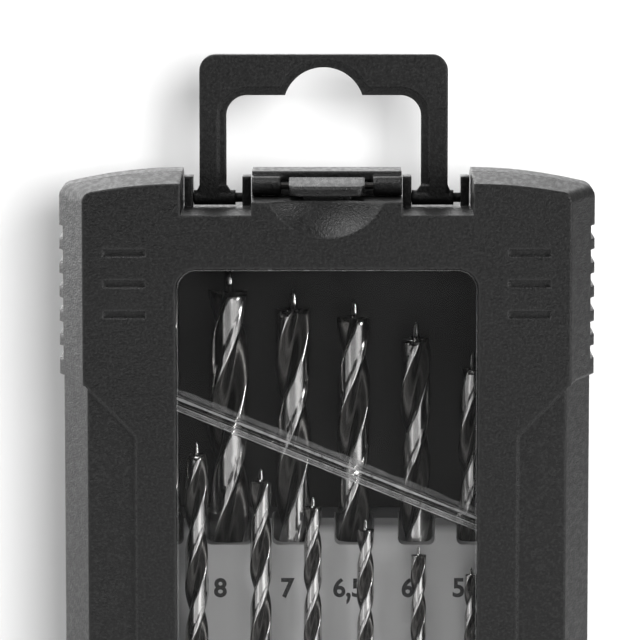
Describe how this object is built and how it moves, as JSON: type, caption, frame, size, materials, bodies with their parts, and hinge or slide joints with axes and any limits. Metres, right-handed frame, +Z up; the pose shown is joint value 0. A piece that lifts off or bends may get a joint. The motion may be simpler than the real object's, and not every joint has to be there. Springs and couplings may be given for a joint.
{
  "type": "drill bit case",
  "caption": "Flat upright drill bit case with hinged windowed lid, pivoting latch, folding hanger and a tilting rack that holds two rows of brad point bits.",
  "frame": {"origin": "centre of the footprint, on the surface the case stands on", "axes": "+Z up along the height, +X to the right seen from the front, the windowed front faces -Y"},
  "size_m": [0.0996, 0.031, 0.1664],
  "materials": {
    "black_plastic": "fine spark-eroded texture",
    "grey_plastic": "satin",
    "clear_plastic": "clear polished",
    "pin_steel": "drawn",
    "bit_steel": "ground lands, black flutes"
  },
  "bodies": {
    "rear_shell": {"rear_shell": "black_plastic", "hinge_pin_left": "pin_steel", "hinge_pin_right": "pin_steel", "latch_pin": "pin_steel"},
    "lid": {"lid_frame": "black_plastic", "window_pane": "clear_plastic"},
    "latch": {"latch": "black_plastic"},
    "hanger": {"hanger": "black_plastic"},
    "rack": {"rack": "grey_plastic", "bit_9": "bit_steel", "bit_8": "bit_steel", "bit_7": "bit_steel", "bit_6_5": "bit_steel", "bit_6": "bit_steel", "bit_5_5": "bit_steel", "bit_5": "bit_steel", "bit_4_8": "bit_steel", "bit_4_5": "bit_steel", "bit_4_2": "bit_steel", "bit_3_5": "bit_steel", "bit_3_3": "bit_steel", "bit_3": "bit_steel", "bit_2_5": "bit_steel", "bit_2": "bit_steel"}
  },
  "joints": [
    {"name": "lid_hinge", "type": "hinge", "parent": "rear_shell", "child": "lid", "pos_m": [0, -0.002, 0.0022], "axis": [1, 0, 0], "range_deg": [0, 100]},
    {"name": "rack_tilt", "type": "hinge", "parent": "rear_shell", "child": "rack", "pos_m": [0, 0.0008, 0.012], "axis": [1, 0, 0], "range_deg": [0, 22]},
    {"name": "latch_pivot", "type": "hinge", "parent": "rear_shell", "child": "latch", "pos_m": [0, -0.0045, 0.14255], "axis": [-1, 0, 0], "range_deg": [0, 50]},
    {"name": "hanger_fold", "type": "hinge", "parent": "rear_shell", "child": "hanger", "pos_m": [0, 0.0042, 0.1396], "axis": [-1, 0, 0], "range_deg": [0, 90]}
  ],
  "couplings": [
    {"joint": "rack_tilt", "follows": "lid_hinge", "ratio": 0.22}
  ]
}
